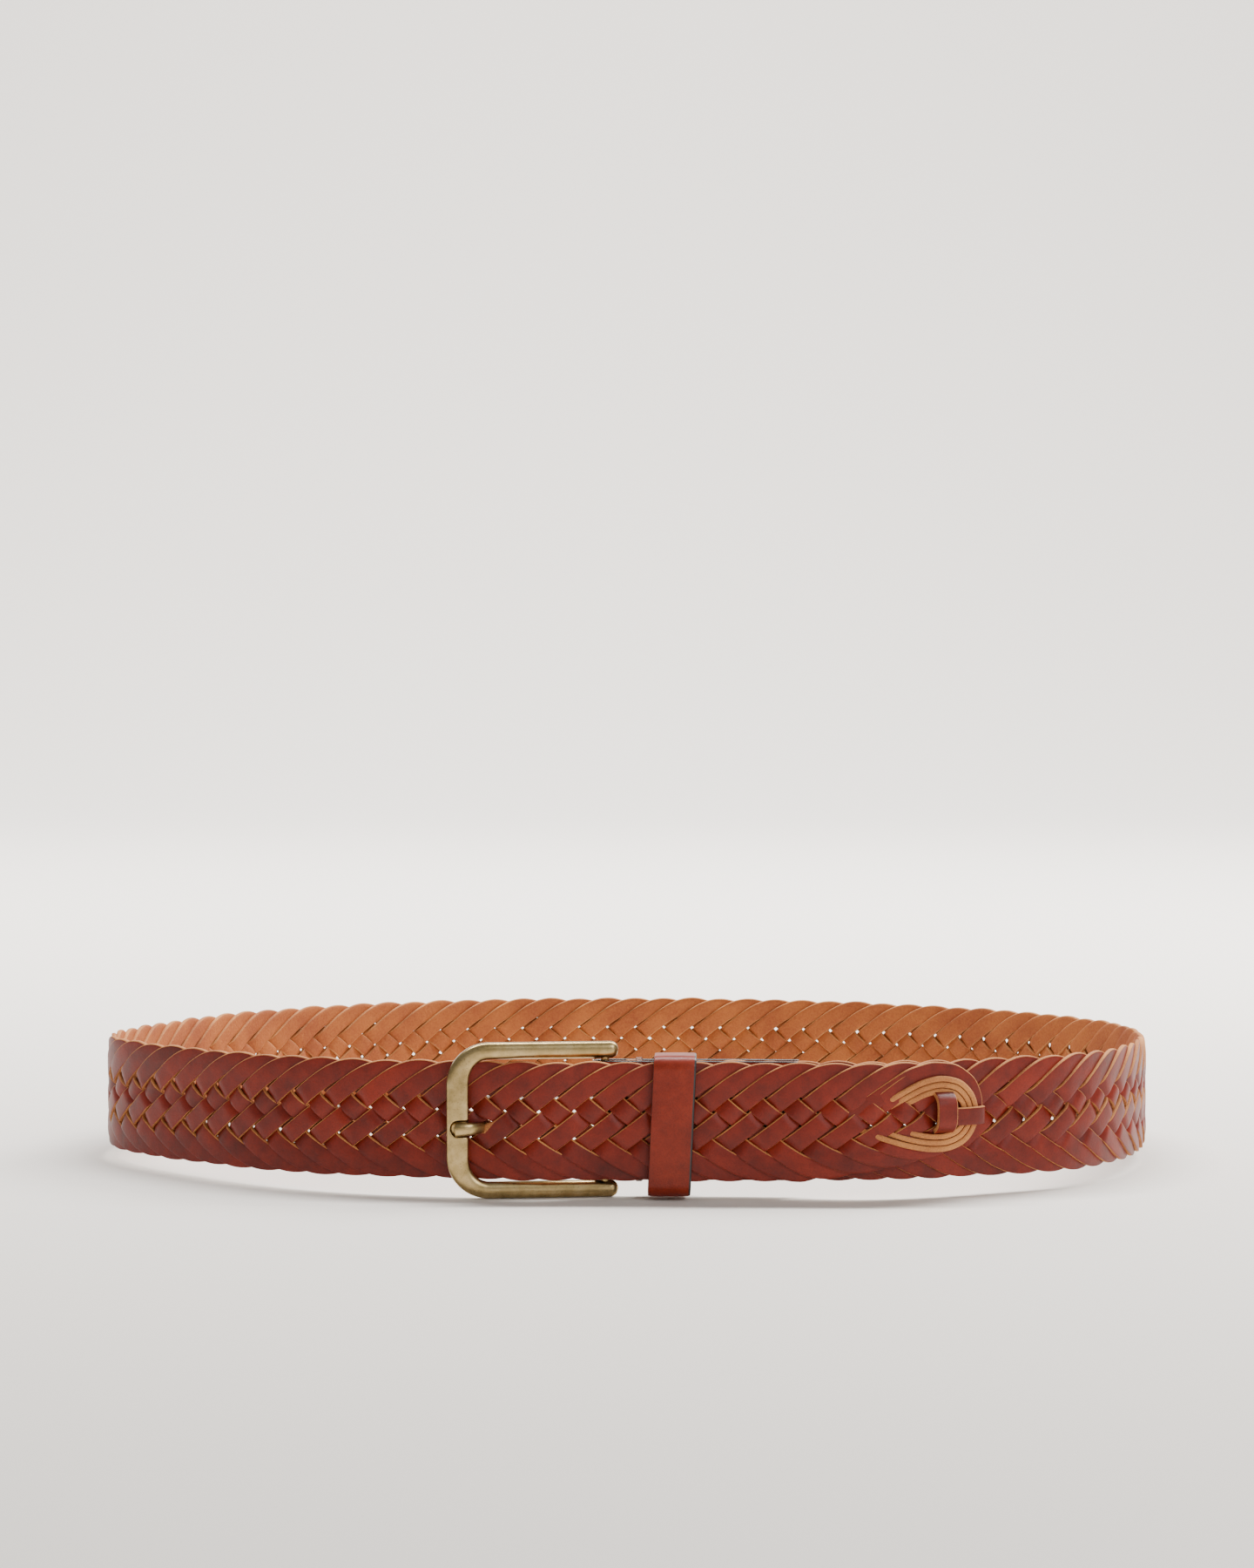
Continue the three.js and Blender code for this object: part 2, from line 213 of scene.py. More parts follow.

# %% [markdown]
# ## Edge paint and thread
# The keeper and the tab have their cut edges sealed with a dark acrylic edge paint, smooth and a
# little shiny. The tack stitches are waxed linen thread. The twist is drawn 3 mm long, coarser than
# the real one, so that it shows, and its grooves are coloured darker as painted shade.

# %% Edge paint and thread
def painted_edge():
    material, shader = new_material("dark_edge_paint", Base_Color=linear("#171011"), Roughness=0.38)
    at = add_node(material, "TexCoord").outputs
    ripple = add_node(material, "TexNoise", {"Vector": at["Object"]}, Scale=per_mm(1.5), Detail=2)
    bump = add_node(
        material, "Bump", {"Height": ripple.outputs["Fac"]}, Strength=0.3, Distance=0.2 * MM
    )
    material.node_tree.links.new(bump.outputs[0], shader.inputs["Normal"])
    return material


def waxed_thread():
    material, shader = new_material("waxed_linen_thread", Roughness=0.6)
    link = material.node_tree.links.new
    at = add_node(material, "TexCoord").outputs
    twist = add_node(
        material, "TexWave", {"Vector": at["Object"]},
        Scale=per_mm(3), Distortion=2, bands_direction="DIAGONAL",
    ).outputs["Fac"]
    # The dark end of this ramp falls in the twist's grooves: painted shade on the thread.
    shades = [(0.2, linear("#3A1E12")), (0.8, linear("#8A5030"))]
    colour = add_node(material, "ValToRGB", {"Fac": twist}, shades)
    link(colour.outputs["Color"], shader.inputs["Base Color"])
    bump = add_node(material, "Bump", {"Height": twist}, Strength=0.6, Distance=0.2 * MM)
    link(bump.outputs[0], shader.inputs["Normal"])
    return material


edge_paint = painted_edge()
thread = waxed_thread()
print("finishes", edge_paint.name, "and", thread.name)

# %% [markdown]
# ## Antique brass
# The buckle is cast in zinc alloy, plated in brass, browned, and then brushed by hand. The brown
# stays in hollows and in fine pits, and the flat faces are worn back to pale metal. Brushing leaves
# fine lines, drawn here 0.25 mm apart so that they show, and a rather soft shine.

# %% Brass
def antique_brass():
    material, shader = new_material("antique_brass", Metallic=1.0)
    link = material.node_tree.links.new
    at = add_node(material, "TexCoord").outputs
    patina = add_node(
        material, "TexNoise", {"Vector": at["Object"]}, Scale=per_mm(5), Detail=6, Roughness=0.65
    ).outputs["Fac"]
    shades = [(0.3, linear("#8C794F")), (0.5, linear("#A89163")), (0.7, linear("#BAA376"))]
    colour = add_node(material, "ValToRGB", {"Fac": patina}, shades).outputs["Color"]
    pits = add_node(
        material, "TexNoise", {"Vector": at["Object"]}, Scale=per_mm(0.5), Detail=3, Roughness=0.6
    ).outputs["Fac"]
    specks = add_node(
        material, "ValToRGB", {"Fac": pits}, [(0.3, grey(0.45)), (0.42, grey(1.0))]
    ).outputs["Color"]
    spotted = add_node(
        material, "MixRGB", {"Color1": colour, "Color2": specks}, blend_type="MULTIPLY", Fac=0.7
    )
    link(spotted.outputs[0], shader.inputs["Base Color"])
    rough = add_node(material, "MapRange", {"Value": patina}, To_Min=0.36, To_Max=0.25)
    link(rough.outputs[0], shader.inputs["Roughness"])
    squeezed = add_node(material, "Mapping", {"Vector": at["Object"]}, Scale=(1, 1, 12))
    brushed = add_node(
        material, "TexNoise", {"Vector": squeezed.outputs[0]}, Scale=per_mm(3), Detail=3
    )
    lines = add_node(
        material, "Bump", {"Height": brushed.outputs["Fac"]}, Strength=0.15, Distance=0.1 * MM
    )
    dents = add_node(
        material, "Bump", {"Height": pits, "Normal": lines.outputs[0]},
        Strength=0.25, Distance=0.1 * MM,
    )
    link(dents.outputs[0], shader.inputs["Normal"])
    return material


brass = antique_brass()
print("metal", brass.name)

# %% [markdown]
# ## The loop
# Everything on the strap is placed along one closed line, seen from above, by its distance s from
# the buckle's bar. The line is the same spline through the same points as in the design, in
# millimetres, and the frame's own bar says where it goes. A point then needs three numbers: s, its
# height over the strap's middle, and how far out of the loop it lies.

# %% Sizes
BELT_WIDTH = 35
GAP = 0.3  # clearance between neighbouring pieces
LIFT = 5.5  # how high the buckle holds the strap's lower edge at the front
HALF_STRAP = 1.5  # half of the braid's thickness
PITCH = 10.2  # from one scallop of the edge to the next
TAB_LEATHER = 1.4
TAB_LENGTH = 57
KEEPER_AT = 20.3
KEEPER_WIDTH = 12.4
TAIL_LENGTH = 112.5
HOLE_AT = 34  # the prong comes through the braid this far before the bar
FRONT_BAR_PAST_HOLE = 9.5  # from the prong's hole to the middle of the front bar
FRAME_REACH = HOLE_AT + FRONT_BAR_PAST_HOLE
FRAME_BAR_WIDTH = 6.5
BAR_RADIUS = 1.25
BULGE = 2.5  # the strap rides out over the prong
PRONG_LOW = -2.2  # the prong's height at the hole, from the strap's middle
TAB_SPREAD = HALF_STRAP + GAP + TAB_LEATHER / 2  # from the strap's middle to each leaf's middle
TAB_INSET = TAB_SPREAD + TAB_LEATHER / 2 + GAP + HALF_STRAP  # from the free end's to the tab's
LAP_INSET = 2 * HALF_STRAP + 2 * GAP  # from the free end's middle to the strap's, past the tab
LOOP_POINTS = [
    (-7, -86.5), (30, -88), (84, -88), (140, -54), (163, 0), (156, 61), (112, 115),
    (37, 149), (-51, 147), (-118, 107), (-152, 54), (-163, 0), (-129, -45), (-84, -74),
]
BACK_Y = max(y for x, y in LOOP_POINTS)
FRONT_Y = LOOP_POINTS[0][1]


# %% The loop's line
def spline(points, steps=300):
    """A closed centripetal Catmull-Rom line through the points."""
    p = np.array(points, float)
    line = []
    for i in range(len(p)):
        a, b, c, d = (p[(i + k) % len(p)] for k in (-1, 0, 1, 2))
        t0, t1, t2 = (np.sqrt(np.linalg.norm(v)) for v in (b - a, c - b, d - c))
        m1 = ((b - a) / t0 - (c - a) / (t0 + t1) + (c - b) / t1) * t1
        m2 = ((c - b) / t1 - (d - b) / (t1 + t2) + (d - c) / t2) * t1
        t = (np.arange(steps) / steps)[:, None]
        bend = (3 * (c - b) - 2 * m1 - m2) * t**2 + (2 * (b - c) + m1 + m2) * t**3
        line.append(b + m1 * t + bend)
    return np.concatenate(line)


def lengths(line):
    """The distance along a line, at each of its points."""
    return np.concatenate([[0], np.cumsum(np.linalg.norm(np.diff(line, axis=0), axis=1))])


loop_line = spline(LOOP_POINTS)
loop_line = np.vstack([loop_line, loop_line[:1]])
loop_s = lengths(loop_line)
LOOP = loop_s[-1]
print("the loop is", round(LOOP, 1), "mm round")


def smoothstep(x, low, high):
    t = np.clip((np.asarray(x, float) - low) / (high - low), 0, 1)
    return t * t * (3 - 2 * t)


def strap_out(s):
    """How far the strap's middle lies outside the line.

    It dips behind its own free end, and it bulges out over the prong.
    """
    s = np.asarray(s, float)
    past_tab = smoothstep(s, TAB_LENGTH, TAB_LENGTH + BELT_WIDTH / 2)
    past_tip = smoothstep(s, TAIL_LENGTH, TAIL_LENGTH + BELT_WIDTH)
    dip = -(TAB_INSET + (LAP_INSET - TAB_INSET) * past_tab) * (1 - past_tip)
    reach = FRAME_REACH - FRAME_BAR_WIDTH / 2
    before = LOOP - s
    bulge = BULGE * (1 - np.cos(2 * np.pi * before / reach)) / 2
    return np.where(s < LOOP / 2, dip, np.where((before > 0) & (before < reach), bulge, 0))


def line_at(s):
    """The loop's point and tangent at a distance along it."""
    s = np.asarray(s, float) % LOOP
    step = 0.5
    x, y = (np.interp(s, loop_s, loop_line[:, k]) for k in (0, 1))
    ahead = (s + step) % LOOP
    behind = (s - step) % LOOP
    tx, ty = (
        np.interp(ahead, loop_s, loop_line[:, k]) - np.interp(behind, loop_s, loop_line[:, k])
        for k in (0, 1)
    )
    length = np.hypot(tx, ty)
    return x, y, tx / length, ty / length


def place(s, up, out):
    """Points in metres, from places along the loop, heights and ways out in millimetres."""
    x, y, tx, ty = line_at(s)
    lift = LIFT * (BACK_Y - y) / (BACK_Y - FRONT_Y)
    high = lift + BELT_WIDTH / 2 + up
    return np.stack([x + ty * out, y - tx * out, high + 0 * x], axis=-1) * MM + shift


shift = np.zeros(3)
bar_low, bar_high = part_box("buckle_bar")
shift = np.array((bar_low + bar_high) / 2) - place(0, 0, -TAB_INSET)
print("the design's origin is moved by", np.round(shift / MM, 2), "mm")

# %% [markdown]
# ## Swept pieces
# Strands, thread, leather bands and the brass are all a small closed section carried along a line.
# A grid has one row for each step along the line and one column for each point of the section.
# Moving its vertices wraps it into a tube, merging the doubles closes the seam, and filling the
# holes closes the ends. Each column keeps its own material, so a strand has a face, a back and two
# cut edges.

# %% The sweep
MERGE = 1e-7  # metres


def finished(name, mesh, materials):
    """The mesh as an object in the scene, with its materials."""
    for material in materials:
        mesh.materials.append(material)
    piece = bpy.data.objects.new(name, mesh)
    bpy.context.scene.collection.objects.link(piece)
    return piece


def sweep(name, steps, points, uv, columns, materials, closed=False, end=0):
    """A closed body.

    points and uv take each vertex's row and column, as arrays. columns holds the material of each
    column of faces, and end is the material of the two ends.
    """
    around = len(columns)
    bm = bmesh.new()
    bmesh.ops.create_grid(bm, x_segments=steps, y_segments=around, size=1)
    mesh = bpy.data.meshes.new(name)
    bm.to_mesh(mesh)
    bm.free()
    co = np.zeros(len(mesh.vertices) * 3)
    mesh.vertices.foreach_get("co", co)
    co = co.reshape(-1, 3)
    row = np.rint((co[:, 0] + 1) / 2 * steps).astype(int)
    column = np.rint((co[:, 1] + 1) / 2 * around).astype(int)
    wrapped = np.where(row == steps, 0, row) if closed else row
    mesh.vertices.foreach_set("co", points(wrapped, column % around).astype(np.float32).ravel())
    layer = mesh.uv_layers.new(name="along")
    corner = np.zeros(len(mesh.loops), int)
    mesh.loops.foreach_get("vertex_index", corner)
    layer.data.foreach_set("uv", uv(row, column)[corner].astype(np.float32).ravel())
    face_column = column[corner.reshape(-1, 4)].min(axis=1)
    mesh.polygons.foreach_set("material_index", np.array(columns)[face_column].astype(np.int32))
    mesh.polygons.foreach_set("use_smooth", np.ones(len(mesh.polygons), bool))
    bm = bmesh.new()
    bm.from_mesh(mesh)
    bmesh.ops.remove_doubles(bm, verts=bm.verts, dist=MERGE)
    open_edges = [e for e in bm.edges if e.is_boundary]
    if open_edges:
        for face in bmesh.ops.holes_fill(bm, edges=open_edges, sides=0)["faces"]:
            face.material_index = end
    bmesh.ops.recalc_face_normals(bm, faces=bm.faces)
    bm.to_mesh(mesh)
    bm.free()
    return finished(name, mesh, materials)


def unit(vectors):
    return vectors / np.linalg.norm(vectors, axis=1)[:, None]


def softened(line, rounds):
    """A line with its bends eased, by taking each point part of the way to its neighbours."""
    for _ in range(rounds):
        line[1:-1] = (line[:-2] + 2 * line[1:-1] + line[2:]) / 4
    return line


# %% [markdown]
# ## A strip's section
# The section starts in the middle of the back and goes round by way of the upper edge. Its corners
# are soft and its sides swell a little. The face's corners are pared, so that a line of raw leather
# shows beside the dyed face, wider on the upper edge than on the lower one.

# %% Section of a strip
SOFT = 0.3
SWELL = 0.04
FACE, BACK, EDGE = 0, 1, 2
STRIP_COLUMNS = [BACK] * 2 + [EDGE] * 5 + [FACE] * 7 + [EDGE] * 4 + [BACK] * 2
STRIP_MATERIALS = [strand_face, strand_back, cut_edge]


def strip_section(width, thick, crown, bare=0.3):
    """A flat strip's section as (across, high), with raw leather shown this wide on the face."""
    w, t = width / 2, thick / 2
    back = [(0, -t), (w * 0.5, -t), (w - SOFT, -t), (w, -t + SOFT)]
    upper_edge = [(w + SWELL, 0), (w - 0.02, t - SOFT), (w - bare / 3, t - 0.08), (w - bare, t)]
    lower_edge = [
        (-w - SWELL, 0), (-w + 0.02, t - 0.25), (-w + bare / 5, t - 0.05), (-w + bare / 2, t)
    ]
    face = [(w - 0.8, t + crown * 0.3), (w * 0.45, t + crown), (0, t + crown)]
    other_face = [(-a, h) for a, h in reversed(face[:2])]
    other_back = [(-a, h) for a, h in reversed(back[1:])]
    return np.array(back + upper_edge + face + other_face + lower_edge[::-1] + other_back)


print("a strip's section has", len(strip_section(5, 1, 0)), "points")

# %% [markdown]
# ## The braid
# Ten flat strands run from edge to edge of the strap and turn there, each one pitch behind the
# last. Between two turns a strand meets nine others. Going down it passes under three, over one,
# under two and over three. Going up it passes under three, over two, under one and over three, as
# it must where it meets the strands that go down. A table gives the layer at each crossing, and the
# strand steps between layers in the short gaps between the crossings. Near the edges neighbours
# overlap like roof tiles: a strand's left edge is raised, and its right edge is tucked under.

# %% Braid rules
STRANDS = 10
STRAND_WIDTH = 5.62
STRAND_THICK = 1.4
STRAND_CROWN = 0.07
LAYER = 0.95  # from the strap's middle to each layer's middle
WAVE = (BELT_WIDTH - STRAND_WIDTH) / 2  # a strand's sway up and down
SHARPER = 0.035  # how much of a wave three times as fast goes into the sway
SAG = 1.2  # the crossings in mid-strap lie this much lower
ROLL = 0.13  # the tilt of the tiles near the edges
ROLL_ZONE = (0.3, 0.7)  # the tilt grows between these shares of the sway
ROWS = 2 * STRANDS
braid_start = (LOOP - HOLE_AT) % PITCH
wave_length = ROWS * PITCH / 2
# Each is a crossing, counted from the upper turn, and the strand's layer there: 1 is over.
KEYS = [
    (0, 0), (1, -0.6), (2, -0.9), (3, -1), (4, 1), (5, -1), (6, -1), (7, 1), (8, 0.9), (9, 0.6),
    (10, 0), (11, -0.6), (12, -0.9), (13, -1), (14, 1), (15, 1), (16, -1), (17, 1), (18, 0.9),
    (19, 0.6), (20, 0),
]
LAYER_STEP = (0.22, 0.78)  # the share of a gap in which a strand changes layer
SAMPLES = 40  # for each crossing
AVERAGED = 17  # samples


def layer_table():
    """The layer all along one wave of a strand, as crossings and layers."""
    rows = np.linspace(0, ROWS, ROWS * SAMPLES + 1)
    layers = np.zeros_like(rows)
    for (row, layer), (next_row, next_layer) in zip(KEYS, KEYS[1:]):
        inside = (rows >= row) & (rows <= next_row)
        share = (rows[inside] - row) / (next_row - row)
        changes = abs(next_layer - layer) > 1
        eased = smoothstep(share, *LAYER_STEP) if changes else share
        layers[inside] = layer + (next_layer - layer) * eased
    half = AVERAGED // 2
    around = np.concatenate([layers[-half - 1 : -1], layers, layers[1 : half + 1]])
    return rows, np.convolve(around, np.ones(AVERAGED) / AVERAGED, "valid")


LAYER_ROWS, LAYER_VALUES = layer_table()
print("one wave of a strand is", wave_length, "mm long")

# %% [markdown]
# ## Hand-made work
# No strand lies quite true. A slow sway of two waves moves each one a little and changes its width.
# Towards the tip the strap narrows, its lower edge first, and round the prong the strands part.

# %% Sway, taper and the prong's hole
SWAY = 0.2
WIDTH_SWAY = 0.025
SLOW, QUICK = 0.031, 0.083  # the two waves, in radians per mm
TAPER_BELOW = [(0, 0.2), (8, 0.43), (13, 0.57), (21, 0.68), (30, 0.79), (38, 0.87), (54, 1)]
TAPER_ABOVE = [(0, 0.3), (3, 0.62), (6, 0.8), (12, 0.94), (20, 0.99), (30, 1)]
HOLE_SHIFT = 0.5  # the prong slants, so the strands part round a place past the hole's own
HOLE_LONG = 3
HOLE_HIGH = 2.2
HOLE_OPENING = 0.6  # how far strands are pushed, as a share of the two sizes above
HOLE_REACH = 4  # strands are pushed out to this many times the hole's size


def wander(s, seed, size):
    """A slow, small and repeatable sway, for hand-made work."""
    return size * (np.sin(s * SLOW + seed * 2.1) + 0.6 * np.sin(s * QUICK + seed * 4.7)) / 1.6


def taper(s, up):
    """The free end narrows. The knots are (before the tip, share of the height kept)."""
    to_tip = LOOP + TAIL_LENGTH - s
    low, high = (np.interp(to_tip, *zip(*knots)) for knots in (TAPER_BELOW, TAPER_ABOVE))
    return np.where(up < 0, up * low, up * high)


def open_hole(s, up):
    """Strands part round the prong: near it, they move away from the hole's middle."""
    hole = LOOP - HOLE_AT - HOLE_SHIFT
    ds, du = (s - hole) / HOLE_LONG, (up - PRONG_LOW) / HOLE_HIGH
    r = np.maximum(np.hypot(ds, du), 1e-6)
    grown = 1 + HOLE_OPENING * np.exp(-(r**2) / 2) / r
    near = r < HOLE_REACH
    moved_s = hole + ds * HOLE_LONG * grown
    moved_up = PRONG_LOW + du * HOLE_HIGH * grown
    return np.where(near, moved_s, s), np.where(near, moved_up, up)


# %% One strand
STRAND_STEP = 0.72  # mm along a strand
TONE_OFFSET = 0.37  # metres between two strands, in their maps


def braid_points(index, s, across, high):
    """Where a strand's section points go, for a place s on its centreline."""
    turn = 2 * np.pi * (s - braid_start - index * PITCH) / wave_length
    slope = -WAVE * 2 * np.pi / wave_length
    slope = slope * ((1 - SHARPER) * np.sin(turn) + 3 * SHARPER * np.sin(3 * turn))
    crossing = (turn / (2 * np.pi) % 1) * ROWS
    level = LAYER * np.interp(crossing, LAYER_ROWS, LAYER_VALUES)
    up = WAVE * ((1 - SHARPER) * np.cos(turn) + SHARPER * np.cos(3 * turn))
    up = up - SAG * (1 - (up / WAVE) ** 2)
    side = across / np.hypot(1, slope)
    ds = -slope * side
    near_edge = smoothstep(np.abs(up), WAVE * ROLL_ZONE[0], WAVE * ROLL_ZONE[1])
    tilt = -ROLL * ds * near_edge
    parted_s, parted_up = open_hole(s + ds, up + side + wander(s, index, SWAY))
    out = strap_out(parted_s) + level + tilt + high
    return place(parted_s, taper(parted_s, parted_up), out)


def strand_piece(name, index, start, end):
    steps = int((end - start) / STRAND_STEP)
    section = strip_section(STRAND_WIDTH, STRAND_THICK, STRAND_CROWN)
    stations = np.linspace(start, end, steps + 1)

    def points(row, column):
        s = stations[row]
        width = 1 + wander(s, index + 3, WIDTH_SWAY)
        return braid_points(index, s, section[column, 0] * width, section[column, 1])

    def uv(row, column):
        tone = stations[row] * MM + index * TONE_OFFSET
        return np.stack([tone, column / len(section)], axis=-1)

    return sweep(name, steps, points, uv, STRIP_COLUMNS, STRIP_MATERIALS, end=EDGE)


# %% Main strands
ENDS_FROM_FOLD = 4  # the strands' ends lie this far inside the tab's fold
woven_start = BAR_RADIUS + TAB_LEATHER + ENDS_FROM_FOLD
for i in range(STRANDS):
    piece = strand_piece(f"braid_strand_{i + 1:02d}", i, woven_start, LOOP + KEEPER_AT)
    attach(piece, "strap")
    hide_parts(f"strand_{i + 1:02d}")
print("main strands", STRANDS, "triangles each", 2 * len(piece.data.polygons))

# %% [markdown]
# ## The free end
# From the keeper on, the same strands go on to the tip. The free end can swing out, but these
# strands are only baked in place and belong to no body.

# %% Free end
BRAID_BEFORE_TIP = 12  # the braid stops this far before the tip
tip_s = LOOP + TAIL_LENGTH
for i in range(STRANDS):
    piece = strand_piece(
        f"free_end_strand_{i + 1:02d}", i, LOOP + KEEPER_AT, tip_s - BRAID_BEFORE_TIP
    )
    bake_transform(piece)
    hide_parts(f"tail_strand_{i + 1:02d}")
print("free end strands", STRANDS, "triangles each", 2 * len(piece.data.polygons))

# %% [markdown]
# ## The folded tip
# At the tip each strip turns back into the braid. A flat band rounds it on the outside. Inside that,
# three strips lie on edge in nested bends, so their cut edges show as tan arcs. One more wraps flat
# over the end, and the last crosses it.

# %% Tip strips
TIP_LEATHER = 1.65
TIP_CROWN = 0.05
TIP_STEPS = 140
TIP_MAP = 0.08  # metres along each strip's map
TIP_TONE = 0.5  # metres along the noise that gives strands their tone


def swept_strip(name, centre, turn, width, thick, steps):
    """A strip along centre(t) -> (s, up, out), turned about its own line by an angle."""
    section = strip_section(width, thick, TIP_CROWN)
    t = np.linspace(0, 1, steps + 1)
    s, up, out = centre(t)
    line = place(s, up, out)
    ahead = unit(np.gradient(line, axis=0))
    _, _, tx, ty = line_at(s)
    away = np.stack([ty, -tx, 0 * tx], axis=-1)
    away = unit(away - ahead * np.sum(away * ahead, axis=1)[:, None])
    side = np.cross(away, ahead)
    width_way = side * np.cos(turn) + away * np.sin(turn)
    face_way = away * np.cos(turn) - side * np.sin(turn)

    def points(row, column):
        across, high = section[column].T[:, :, None] * MM
        return line[row] + width_way[row] * across + face_way[row] * high

    def uv(row, column):
        return np.stack([t[row] * TIP_MAP + TIP_TONE, column / len(section)], axis=-1)

    return sweep(name, steps, points, uv, STRIP_COLUMNS, STRIP_MATERIALS, end=EDGE)


def tip_strip(name, line, out, turn, width, thick):
    """A strip whose line is given in the plane of the strap's face, as (before the tip, up)."""
    where = np.linspace(0, len(line) - 1, TIP_STEPS + 1)
    before, up = (np.interp(where, range(len(line)), line[:, k]) for k in (0, 1))
    return swept_strip(name, lambda t: (tip_s - before, up, out(t)), turn, width, thick, TIP_STEPS)


def arch(top, dive, power=6):
    """A way out that stays near its top and dives at both ends."""
    return lambda t: top - dive * np.abs(2 * t - 1) ** power


def smooth_line(knots, count=240, rounds=60):
    """An even line through the knots, with its bends softened."""
    p = np.array(knots, float)
    length = lengths(p)
    even = np.linspace(0, length[-1], count)
    line = np.stack([np.interp(even, length, p[:, k]) for k in range(p.shape[1])], axis=-1)
    return softened(line, rounds)


def inward(line, distance):
    """A flat line moved sideways, to its left."""
    ahead = unit(np.gradient(line, axis=0))
    return line + np.stack([-ahead[:, 1], ahead[:, 0]], axis=-1) * distance


# %% Folded tip
FLAT_BAND = 5.2
ON_EDGE = 3.2  # the width of the strips that stand on edge
CROSS_BAND = 6.1
NEST_STEP = TIP_LEATHER * 1.1
START_CUT = 10  # each inner bend starts this many points later
END_CUT = 16  # and ends this many earlier
WRAP_STARTS = 11.5  # before the tip
WRAP_REACH = 12
WRAP_OUT = 3.6
WRAP_UP = 1.5
CROSS_AT = 12.8  # before the tip
CROSS_TOP = 8.4
CROSS_LENGTH = 11.2
# Knots are (before the tip, height over the strap's middle), from upper left round to lower left.
BEND_KNOTS = [
    (33, 3.6), (26.5, 8), (20, 11.6), (13.8, 13), (7.5, 11.7), (3.4, 7.4), (2.2, 2.7), (3, -2.1),
    (6.2, -6.1), (11.7, -8.1), (18, -8), (24.6, -6.6), (30, -4.9), (38, -2),
]
OUTER_KNOTS = [
    (42, 0.5), (36, 4.5), (29, 9.3), (23, 13.1), (16, 15.1), (9, 14.3), (4, 10.8), (1.8, 6),
    (1.6, 1),
]
bend_line = smooth_line(BEND_KNOTS)
outer_line = smooth_line(OUTER_KNOTS)
outer_band = tip_strip("tip_outer_band", outer_line, arch(0.9, 1.6), 0, FLAT_BAND, STRAND_THICK)
tip_pieces = [outer_band]
for i in range(3):
    kept = bend_line[START_CUT * i : len(bend_line) - END_CUT * i]
    nested = inward(kept, NEST_STEP * i)
    tip_pieces.append(
        tip_strip(f"tip_bend_{i + 1}", nested, arch(1.3, 2.9), np.pi / 2, ON_EDGE, TIP_LEATHER)
    )


def wrap_line(t):
    """From the face, round the end of the tip, to the back."""
    c, s = np.cos(np.pi * t), np.sin(np.pi * t)
    out = WRAP_OUT * np.sign(c) * np.abs(c) ** 0.5
    return tip_s - WRAP_STARTS + WRAP_REACH * s**0.8, WRAP_UP + 0 * t, out


def cross_line(t):
    """Down across the start of the wrap."""
    return tip_s - CROSS_AT + 0 * t, CROSS_TOP - CROSS_LENGTH * t, arch(5.1, 3.4, 4)(t)


tip_pieces.append(swept_strip("tip_wrap", wrap_line, 0, FLAT_BAND, STRAND_THICK, 80))
tip_pieces.append(swept_strip("tip_cross_band", cross_line, 0, CROSS_BAND, TIP_LEATHER, 30))
for piece in tip_pieces:
    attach(piece, "tail")
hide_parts("folded_tip")
print("tip strips", len(tip_pieces))

# %% [markdown]
# ## The buckle
# The frame is a flat casting, open towards the strap, with round corners and soft edges. Its middle
# line runs along one arm, round a corner, down the front bar and back along the other arm, and a
# soft section is swept along it. The section is wider on the front bar than on the arms, it changes
# in the corners, and it shrinks at the two ends to round them. A shallow notch for the prong is
# pressed into the front bar. It is laid out in its own plane and then turned into place: from the
# bar, towards the middle of the front bar.

# %% The buckle's plane
FRAME_THICKNESS = 4
ARM_ROOM = 0.5  # from the strap's edge to each arm
ARM_HEIGHT = 5
ARM_END = 4  # the arms reach this far past the bar
INNER_HALF = BELT_WIDTH / 2 + ARM_ROOM
OUTER_HALF = INNER_HALF + ARM_HEIGHT
FRAME_CORNER = 12.5
PRONG_WIDTH = 4
NOTCH = 1  # the notch's depth
NOTCH_END = -45.3
NOTCH_WALL = (0.1, 0.6)  # its wall rises between these distances past the prong's side
bar_centre = place(0, 0, -TAB_INSET)
front_centre = place(LOOP - FRAME_REACH, 0, HALF_STRAP + 3 * GAP + FRAME_THICKNESS / 2)
along_frame = bar_centre - front_centre
frame_turn = math.atan2(along_frame[1], along_frame[0])
print("the buckle is turned by", round(math.degrees(frame_turn), 1), "degrees")


def in_buckle(x, y, z):
    """From the buckle's own plane, in millimetres from the bar, to metres in the shared frame."""
    c, s = math.cos(frame_turn), math.sin(frame_turn)
    return np.stack([c * x - s * y, s * x + c * y, z + 0 * x], axis=-1) * MM + bar_centre


def soft_box(column, around, blunt):
    """A section with soft corners, as (across, high) up to 1: blunt 1 is round, and 0 is square."""
    angle = 2 * np.pi * column / around
    return tuple(np.sign(w) * np.abs(w) ** blunt for w in (np.cos(angle), np.sin(angle)))


# %% Buckle frame
ARM_ROWS, CORNER_ROWS, BAR_ROWS = 90, 40, 120
END_ROUNDING = 2.4


